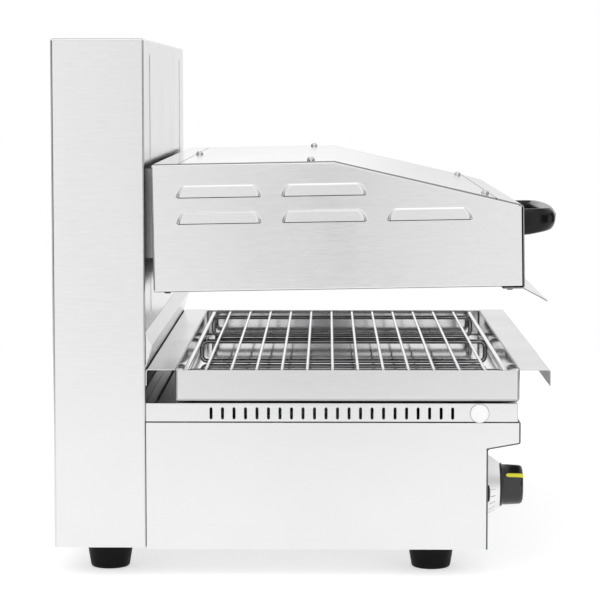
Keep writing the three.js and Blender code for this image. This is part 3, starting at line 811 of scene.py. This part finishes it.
def deck():
    box = Box("vent_deck")
    top = box.z1 - 2.1 * MM
    low = box.z0 + DECK_SEAM
    outline = rectangle(box.x0, box.x1, box.y0, box.y1)
    shell = bent_shell("vent_deck_shell", outline, Matrix.Translation((0, 0, low)), top - low,
                       lambda normal, centre: normal.z < -0.5 or normal.y > 0.5, 1.4 * MM)
    centres = [(BACK - VENT_FIRST - i * VENT_PITCH, 161.9 * MM) for i in range(VENT_COUNT)]
    slots = [stadium(centre, 12 * MM, 3 * MM) for centre in centres]
    seam = rectangle(box.x0 + 2.5 * MM, box.x1 - 2.5 * MM, box.y1 - 11.2 * MM, box.y1 - 8.4 * MM)
    cut(shell, [cutter(slots, 2 * (box.x1 + 5 * MM), SIDE_ON),
                cutter([seam], 12 * MM, Matrix.Translation((0, 0, top)))])
    steel(shell, "stand", "vent_deck")
    bm = bmesh.new()
    y0, y1 = BACK - 450 * MM, BACK - 125 * MM
    stations = [(y0, 0.05), (y0 + 3 * MM, 0.7), (y0 + 8 * MM, 1)]
    stations += [(y1 - 8 * MM, 1), (y1 - 3 * MM, 0.7), (y1, 0.05)]
    for _, sign in SIDES:
        bow = [(sign * RUNNER_X + a * RUNNER_HALF, b * RUNNER_HEIGHT) for a, b in arc((0, 0), 1, 0, 180, 12)]
        rows = []
        for y, share in stations:
            rows.append([bm.verts.new((x, y, top - 0.05 * MM + rise * share)) for x, rise in bow])
        skin(bm, rows, around=False)
    steel(from_bmesh("tray_runners", bm, 60), "stand")


def plugs():
    for word, sign in SIDES:
        node = f"side_plug_{word}"
        box = Box(node)
        rim = (box.z1 - box.z0) / 2 / MM + 0.3
        inner = Vector((sign * min(abs(box.x0), abs(box.x1)), box.middle.y, box.middle.z))
        profile = [(0, -1.2), (6.4, -1.2), (6.4, 0), (rim, 0), (rim, 0.7), (rim - 0.9, 1.4), (rim - 2.2, 1.5),
                   (rim - 3.0, 1.2), (3, 1.3), (0, 1.35)]
        cap = lathe(f"side_plug_cap_{word}", profile, inner, X * sign, 48)
        dressed(cap, "stand", WHITE_PLASTIC, "white_plastic", node)
        # A grey ring just wider than the cap, lying under it: a painted shadow line round the plug.
        ring = [(7, 0), (rim + 0.5, 0), (rim + 0.5, 0.15), (7, 0.15), (7, 0)]
        seat = lathe(f"side_plug_shadow_ring_{word}", ring, inner, X * sign, 48)
        dressed(seat, "stand", GREY_PLASTIC, "white_plastic", node)


def feet():
    profile = [(0, 0), (16.8, 0), (18.2, 0.3), (19.1, 1.0), (19.7, 2.4), (21.6, 14), (23.2, 24.6),
               (23.4, 26.4), (23.0, 27.6), (22, 28), (0, 28)]
    for word, _ in SIDES:
        for place in ("rear", "front"):
            name = f"foot_{place}_{word}"
            at = Box(name).middle
            foot = lathe(name + "_rubber", profile, (at.x, at.y, 0), Z)
            dressed(foot, "stand", RUBBER, "rubber", name)


# ---- controls ----

POINTER_TURN = math.radians(37)  # above level, towards the left side
MARK_PITCH = 15  # degrees between the marks on the dial
DIAL_OFF = 143.0  # where the scale has its blank sector, in degrees round the dial
DIAL_GAP = 44.0  # half of that sector


def dial_finish(word, centre):
    """Satin aluminium with dark marks round its cone."""
    look = Shading(f"dial_face_{word}", Metallic=0.7)
    place = look.vector("SUBTRACT", look.place(), tuple(centre))
    across, up = (look.node("SeparateXYZ", {0: place}, axis) for axis in "XZ")
    degrees = look.math("DEGREES", look.math("ARCTAN2", up, across))
    shifted = look.math("ADD", degrees, 360 + MARK_PITCH / 2)
    within = look.math("MODULO", shifted, float(MARK_PITCH))
    apart = look.math("ABSOLUTE", look.math("SUBTRACT", within, MARK_PITCH / 2))
    radius = look.vector("LENGTH", look.vector("MULTIPLY", place, (1, 0, 1)), output="Value")
    from_off = look.math("ABSOLUTE", look.math("SUBTRACT", degrees, DIAL_OFF))
    inked = look.math("LESS_THAN", apart, 1.0)
    for limit in (look.math("GREATER_THAN", radius, 26.5 * MM), look.math("LESS_THAN", radius, 31 * MM),
                  look.math("GREATER_THAN", from_off, DIAL_GAP)):
        inked = look.math("MULTIPLY", inked, limit)
    look.shade("Base Color", look.mixed(inked, (0.88, 0.88, 0.89, 1), (0.4, 0.4, 0.4, 1)))
    look.shade("Roughness", look.ranged(look.noise((900, 900, 900)), 0.3, 0.4))
    return look.material


CONE = [(7, 0), (32.4, 0), (33, 0.4), (33, 1.2), (32.5, 1.8), (23.4, 15.2), (22.8, 15.6), (7, 15.7), (7, 0)]
GRIP = [(0, -10), (4, -10), (4, 16.0), (21.6, 16.1), (22.2, 16.5), (22.2, 17.6), (21.7, 18.1), (20.9, 18.3),
        (20.6, 18.8), (20.5, 24), (19.9, 34.5), (19.6, 36.6), (18.9, 38.0), (17.7, 38.8), (16.4, 39.0),
        (15.2, 38.7), (14.2, 38.3), (0, 38.2)]
LAMP_RING = [(4.8, -17.7), (4.8, 0.1), (8.0, 0.1), (8.5, 0.5), (8.5, 2.5), (8.0, 3.1), (7.2, 3.3), (6.5, 3.0),
             (6.4, 2.2), (4.4, 2.2), (4.4, -17.7), (4.8, -17.7)]
LAMP_LENS = [(0, 2.3), (6.3, 2.3), (6.3, 2.8), (5.9, 3.4), (4.8, 4.0), (3.2, 4.4), (1.6, 4.6), (0, 4.65)]


def controls():
    face_y = Box("control_panel").y0 + BROW_REACH
    for word, _ in SIDES:
        skirt = Box(f"dial_skirt_{word}")
        lamp = Box(f"pilot_lamp_{word}").middle
        at = Vector((skirt.middle.x, skirt.y1, skirt.middle.z))
        cone = lathe(f"dial_cone_{word}", CONE, at, -Y, 96)
        dressed(cone, "stand", dial_finish(word, skirt.middle), "dial_metal", f"dial_skirt_{word}")
        seat = at - Y * 0.3 * MM
        body = lathe(f"knob_grip_{word}", GRIP, seat, -Y, 96)
        dressed(body, f"knob_{word}", BLACK_SATIN, "black_plastic", f"knob_{word}")
        pointer(word, seat)
        ring = lathe(f"lamp_ring_{word}", LAMP_RING, (lamp.x, face_y, lamp.z), -Y)
        dressed(ring, "stand", BLACK_GLOSS, "black_plastic", f"pilot_lamp_{word}")
        lens = lathe(f"lamp_lens_{word}", LAMP_LENS, (lamp.x, face_y, lamp.z), -Y, 48)
        dressed(lens, "stand", LENS, "lamp_lens", f"pilot_lamp_{word}")
        carried(f"regulator_{word}", GREY_PLASTIC, 0.8 * MM)
    carried("terminal_block", WHITE_PLASTIC, 0.8 * MM)


def pointer(word, at):
    """A yellow bar let into the knob's flank, running over its rim on to the face."""
    out = Vector((-math.cos(POINTER_TURN), 0, math.sin(POINTER_TURN)))
    across = out.cross(Y)
    path = [(20.6, 21.6), (20.75, 22.4), (20.7, 24), (20.15, 34.5), (19.9, 36.8), (19.2, 38.3), (17.9, 39.15),
            (16.4, 39.3), (15.2, 39.05), (14.2, 38.7), (9.0, 38.6), (8.2, 38.45)]
    width = 2.1
    rings = []
    for i, (radius, depth) in enumerate(path):
        share = {0: 0.35, 1: 0.8, len(path) - 1: 0.5}.get(i, 1.0)
        low = radius - 1.2 if depth < 38.2 else radius - 0.3
        under = depth - 0.9 if depth > 36 else depth
        centre = at - Y * depth * MM + out * radius * MM
        core = at - Y * under * MM + out * low * MM
        edge = across * width * share * MM
        inset = (core - centre) * 0.18
        rings.append([core - edge, centre + inset - edge, centre - edge * 0.82, centre + edge * 0.82,
                      centre + inset + edge, core + edge])
    bar = lofted(f"knob_pointer_{word}", rings, 40)
    dressed(bar, f"knob_{word}", YELLOW, "black_plastic")


# ---- tray and rack ----

TRAY_WALL = 1.0 * MM
TRAY_RISE = 1.8 * MM  # the rim and the rack stand this much above the simpler CAD tray
TRAY_SAG = 1.0 * MM  # and the floor hangs this much below it, close over the deck


def tray():
    box = Box("drip_tray")
    rear, front = BACK - 120.2 * MM, BACK - 459.9 * MM
    rim, floor, lip = box.z1 + TRAY_RISE, box.z0 - TRAY_SAG, 189 * MM
    outline = rectangle(box.x0, box.x1, front, rear)
    # The tray's folds take the darker fold look, as painted shade round its corners.
    shell = bent_shell("drip_tray_pan", outline, Matrix.Translation((0, 0, floor)), rim - floor,
                       lambda normal, centre: normal.z > 0.5, 2.6 * MM, TRAY_WALL, TRAY_FOLD_SHADE, TRAY_INSIDE)
    steel(shell, "tray", "drip_tray", look=TRAY_STEEL)
    width = box.x1 - box.x0 - 0.6 * MM
    for word, edge, wall, inward in (("rear", box.y1, rear, -1), ("front", box.y0, front, 1)):
        outline = folded([(edge, lip), (edge, rim), (wall, rim)], TRAY_WALL, 1.6 * MM, inward > 0)
        flange = flat_sheet(f"drip_tray_flange_{word}", [outline], width, SIDE_ON, 0.12 * MM)
        by_face(flange, [TRAY_STEEL, SHADED_STEEL],
                lambda normal: SHADED_STEEL if normal.y * inward > 0.5 or normal.z < -0.5 else TRAY_STEEL)
        steel(flange, "tray", "drip_tray", look=TRAY_STEEL)


def rack():
    box = Box("grill_rack")
    thick, thin = 2.5 * MM, 1.6 * MM
    top = box.z1 + TRAY_RISE

    def across(forward, z):
        return [(box.x1 * share, BACK - forward, z) for share in (-1, -0.4, 0.4, 1)]

    routes = [(across(forward * MM, top - thick), thick) for forward in (129.6, 447)]
    routes += [(across((149.6 + i * 25.2) * MM, top - thin), thin) for i in range(12)]
    dressed(tubes("grill_rack_bars", routes, 16), "rack", CHROME, "chrome_wire", "grill_rack")

    routes = []
    upper = top - 2 * thin - thick + 1.0 * MM
    lower = Box("drip_tray").z0 - TRAY_SAG + TRAY_WALL + 0.3 * MM + thick
    rear, front = BACK - 130.3 * MM, BACK - 446.3 * MM
    middle = (rear + front) / 2
    for x in (-262 * MM, 0, 262 * MM):
        for end in (rear, front):
            shift = 1 * MM if end > middle else -1 * MM
            open_end = middle - shift
            corners = [(x, open_end, upper), (x, end, upper), (x, end, lower), (x, open_end, lower)]
            routes.append((rounded(corners, 7 * MM, 8), thick))
    # The loops take the darkened chrome: painted shade.
    dressed(tubes("grill_rack_loops", routes, 16), "rack", SHADED_LOOP_WIRE, "chrome_wire", "grill_rack")


# ---- heating head ----

HEAD_PITCH = math.radians(1)  # the head hangs a little nose down
HEAD_DEPTH = 363 * MM
REAR_HEIGHT = 125 * MM
FRONT_HEIGHT = 79.5 * MM
HEAD_FLAT = 180 * MM
COVER_DROP = 0.3 * MM  # the cover lies between the side plates' folds, just below their tops
COVER_INSET = 2.1 * MM
HEAD_SLOPE = (REAR_HEIGHT - FRONT_HEIGHT) / (HEAD_DEPTH - HEAD_FLAT)
PLATE = Box("head_left_side")
PIVOT = Vector((0, PLATE.y1 - REAR_HEIGHT * math.sin(HEAD_PITCH), PLATE.z0))
HEAD = Matrix.Translation(PIVOT) @ Matrix.Rotation(-HEAD_PITCH, 4, "X")
HEAD_FLANGE = 5 * MM
HEAD_FOLD = 2.0 * MM
FRONT_PANEL = 1.4 * MM  # the front panel laps over the side plates' front edges
LOUVRES = [(24.7 * MM, 92.8 * MM), (127.8 * MM, 92.8 * MM), (24.7 * MM, 67.1 * MM), (127.8 * MM, 67.1 * MM),
           (231 * MM, 67.1 * MM)]
LOUVRE_MARGIN = 3 * MM
LOUVRE_LENGTH = 82.2 * MM
LOUVRE_HEIGHT = 11.6 * MM
LOUVRE_OUT = 2.7 * MM
LOUVRE_MOUTH = 0.9 * MM  # how far the opening shows below the hood


def eased(t):
    t = min(max(t, 0), 1)
    return math.sin(t * math.pi / 2)


def add_louvre(bm, face, sign, u0, w0):
    """One pressed hood, open along its lower edge, on a patch of plate that reaches a little past it."""
    end_lean, bend = 6.5 * MM, 2.8 * MM
    columns, rows = 100, 26
    top = LOUVRE_HEIGHT + 2 * MM
    grid = []
    for j in range(rows + 1):
        w = top * j / rows
        row = []
        for i in range(columns + 1):
            u = -LOUVRE_MARGIN + (LOUVRE_LENGTH + 2 * LOUVRE_MARGIN) * i / columns
            lean = end_lean * (w / LOUVRE_HEIGHT) ** 1.6
            fall = (LOUVRE_HEIGHT - w) / LOUVRE_HEIGHT
            rise = 0.5 * eased(fall / 0.17) + 0.5 * max(fall, 0)
            rise *= eased((u - lean) / bend) * eased((LOUVRE_LENGTH - u - lean) / bend)
            row.append(bm.verts.new((face + sign * LOUVRE_OUT * rise, -(u0 + u), w0 + w)))
        grid.append(row)
    skin(bm, grid, around=False)


def louvre_opening(u, w):
    """The hole in the plate behind a hood: its patch, and a mouth that shows below the hood."""
    start, end = u - LOUVRE_MARGIN, u + LOUVRE_LENGTH + LOUVRE_MARGIN
    lip_start, lip_end = u + 1 * MM, u + LOUVRE_LENGTH - 1 * MM
    mouth, top = w - LOUVRE_MOUTH, w + LOUVRE_HEIGHT + 2 * MM
    return [(-end, w), (-(u + LOUVRE_LENGTH), w), (-lip_end, mouth), (-lip_start, mouth), (-u, w),
            (-start, w), (-start, top), (-end, top)]


def head_sides():
    front = FRONT_PANEL - HEAD_DEPTH
    outline = [(0, 0), (front, 0), (front, FRONT_HEIGHT), (-HEAD_FLAT, REAR_HEIGHT), (0, REAR_HEIGHT)]
    holes = [louvre_opening(u, w) for u, w in LOUVRES]
    for word, sign in SIDES:
        face = sign * -Box("base_left_side").x0
        middle = face - sign * SHEET / 2
        plane = HEAD @ axes((min(face, face - sign * HEAD_FLANGE), 0, 0), Y, Z)
        plate = bent_shell(f"head_{word}_plate", outline, plane, HEAD_FLANGE,
                           lambda normal, centre: normal.x * sign < -0.5 or normal.y < -0.5, HEAD_FOLD)
        cut(plate, [cutter(holes, 10 * MM, HEAD @ axes((middle, 0, 0), Y, Z))])
        steel(plate, "head", f"head_{word}_side")
        bm = bmesh.new()
        for u, w in LOUVRES:
            add_louvre(bm, face, sign, u, w)
        bmesh.ops.transform(bm, matrix=HEAD, verts=bm.verts)
        if sign > 0:
            bmesh.ops.reverse_faces(bm, faces=bm.faces)
        hoods = from_bmesh(f"head_{word}_louvres", bm, outward=False)
        wall = hoods.modifiers.new("wall", "SOLIDIFY")
        wall.thickness = 1.0 * MM
        wall.offset = -1
        applied(hoods, 50)
        steel(hoods, "head", f"head_{word}_side")


def cover_height(u):
    return REAR_HEIGHT - COVER_DROP - max(u - HEAD_FLAT, 0) * HEAD_SLOPE


def head_covers():
    whole = 2 * -Box("base_left_side").x0
    reach = whole - 2 * COVER_INSET

    # Faces turned to the column take black: painted shade in the gap between head and column.
    def finish(normal):
        # The sheet's cut ends take a dark cut-edge look: duller steel, darkened further as painted shade.
        if abs(normal.x) > 0.6:
            return CUT_EDGE_SHADE
        return GAP_SHADE_BLACK if normal.y > 0.5 else COVER_STEEL

    def fold(name, corners, node, width=reach, thickness=SHEET):
        outline = folded([(-u, w) for u, w in corners], thickness, 1.8 * MM)
        piece = flat_sheet(name, [outline], width, HEAD @ SIDE_ON, 0.15 * MM)
        by_face(piece, [COVER_STEEL, CUT_EDGE_SHADE, GAP_SHADE_BLACK], finish)
        steel(piece, "head", node, look=COVER_STEEL)

    seam, gap = 338 * MM, 1.0 * MM
    lap = -1.0 * MM
    rear, nose = 1.6 * MM, HEAD_DEPTH - 1.6 * MM
    top, brow = cover_height(0), FRONT_HEIGHT - 1 * MM
    fold("head_back_fold", [(16 * MM, rear), (rear, rear), (rear, top), (26.5 * MM, top)], "head_back",
         whole - 4 * MM)
    fold("head_cover_fold", [(27.2 * MM, top), (HEAD_FLAT, top), (seam - gap, cover_height(seam - gap))],
         "head_top")
    fold("head_front_fold", [(HEAD_DEPTH - 4 * MM, brow), (HEAD_DEPTH, brow), (HEAD_DEPTH, lap),
                             (343 * MM, lap)], "head_front", whole)
    fold("head_front_return", [(seam, cover_height(seam)), (nose, cover_height(HEAD_DEPTH))], "head_front")
    under = lap - 1.1 * MM
    tip_u, tip_w = 386 * MM, -15.3 * MM
    fold("deflector_fold", [(344 * MM, under), (HEAD_DEPTH - 1 * MM, under), (tip_u, tip_w)],
         "heat_deflector", thickness=1.0 * MM)
    hem = [(-378.6 * MM, -11.5 * MM), (-tip_u, tip_w - 1.0 * MM)]
    outline = folded(hem, 1.0 * MM, 1 * MM)
    piece = flat_sheet("deflector_hem", [outline], reach, HEAD @ SIDE_ON, 0.15 * MM)
    steel(piece, "head", "heat_deflector")

    def on_cover(x, u):
        lean = math.atan(HEAD_SLOPE) if u > HEAD_FLAT else 0
        out = HEAD.to_3x3() @ Vector((0, -math.sin(lean), math.cos(lean)))
        return HEAD @ Vector((x, -u, cover_height(u))), out

    spots = [(0, 31 * MM)]
    spots += [(sign * x * MM, u * MM) for _, sign in SIDES for x, u in ((268, 156.5), (240, 330))]
    screws("cover_screws", [on_cover(x, u) for x, u in spots], "head", SCREW_STEEL, 4.0 * MM, 5.0 * MM)
    below = [(HEAD @ Vector((sign * 290 * MM, -u, -(2.2 if u > 100 * MM else 0.2) * MM)), -Z)
             for _, sign in SIDES for u in (13 * MM, 350 * MM)]
    screws("head_underside_screws", below, "head", DARK_SCREW, 3.6 * MM, 1.8 * MM)


HANDLE_HALF = 95 * MM
HANDLE_DEPTH = 58.9 * MM


def handle():
    """A bow: two arms and a nose that rounds over from an almost flat top."""
    root = HEAD_DEPTH + 0.3 * MM
    arm_x = HANDLE_HALF - 7.5 * MM
    bow_width = 17.5 * MM

    def bow(x):
        return HANDLE_DEPTH * (1 - 0.13 * (x / HANDLE_HALF) ** 2) - bow_width / 2

    corner_x = arm_x - 14 * MM
    arm_end, corner = Vector((-arm_x, 24 * MM)), Vector((-arm_x, bow(-arm_x)))
    bow_start = Vector((-corner_x, bow(corner_x)))
    arm = [Vector((-arm_x, 0)), arm_end]
    for k in range(1, 9):
        t = k / 8
        arm.append(arm_end * (1 - t) ** 2 + corner * 2 * t * (1 - t) + bow_start * t ** 2)
    steps = 20
    across = [-corner_x + 2 * corner_x * k / steps for k in range(1, steps)]
    line = arm + [Vector((x, bow(x))) for x in across] + [Vector((-p.x, p.y)) for p in arm[::-1]]
    rings = []
    sides, top = 40, 64.3 * MM
    for i, point in enumerate(line):
        before, after = line[max(i - 1, 0)], line[min(i + 1, len(line) - 1)]
        along = (after - before).normalized()
        out = Vector((-along.y, along.x))
        share = min(max((point.y - 10 * MM) / (bow(0) - 10 * MM), 0), 1)
        half_width = (7.0 + 1.75 * share) * MM
        bottom = (34.8 + 6.4 * share ** 1.3) * MM
        ring = []
        for k in range(sides):
            turn = 2 * math.pi * k / sides
            c, s = math.cos(turn), math.sin(turn)
            power = 2 / (2.5 + 0.9 * (1 - share))
            a = math.copysign(abs(c) ** power, c) * half_width
            b = math.copysign(abs(s) ** power, s)
            height = (top + bottom) / 2 + b * (top - bottom) / 2
            if a > 0:
                height -= share * 2.4 * MM * (a / half_width) ** 2 * (1 if b > 0 else -1.6)
            spot = point + out * a
            ring.append(HEAD @ Vector((spot.x, -(root + spot.y), height)))
        rings.append(ring)
    piece = lofted("handle_bow", rings, 60)
    dressed(piece, "head", BLACK_GLOSS, "black_plastic", "handle")


def heating():
    # The reflector takes dark steel: painted shade under the head, seen in the tray's reflections.
    carried("reflector", REFLECTOR_SHADE, 0.3 * MM)
    carried("insulation", WOOL, 3 * MM)
    runs, first, pitch = 6, 48, 50
    last = first + (runs - 1) * pitch
    inner, outer, terminal = 20, 263, 279
    run_height, terminal_height = 22, 66
    for word, sign in SIDES:
        corners = [(sign * terminal, first, terminal_height)]
        for i in range(runs):
            far = terminal if i in (0, runs - 1) else outer
            ends = (inner, far) if i % 2 else (far, inner)
            corners += [(sign * x, first + i * pitch, run_height) for x in ends]
        corners.append((sign * terminal, last, terminal_height))
        route = rounded([HEAD @ Vector((x * MM, -u * MM, w * MM)) for x, u, w in corners], 18 * MM, 8)
        piece = tubes(f"heating_rod_{word}", [(route, 4 * MM)], 16)
        dressed(piece, "head", SHEATH, "element_sheath", f"heating_element_{word}")
    wires = [[(x, u) for x in (-282, -90, 90, 282)] for u in (16, 336)]
    wires += [[(i * 56, u) for u in (15, 120, 230, 337)] for i in range(-5, 6)]
    routes = [([HEAD @ Vector((x * MM, -u * MM, 8 * MM)) for x, u in wire], 1.8 * MM) for wire in wires]
    dressed(tubes("element_guard_wires", routes), "head", CHROME, "chrome_wire", "element_guard")


camera()
studio()
column()
gland()
lift_gear()
head_lead()
base()
deck()
plugs()
feet()
controls()
tray()
rack()
head_sides()
head_covers()
handle()
heating()
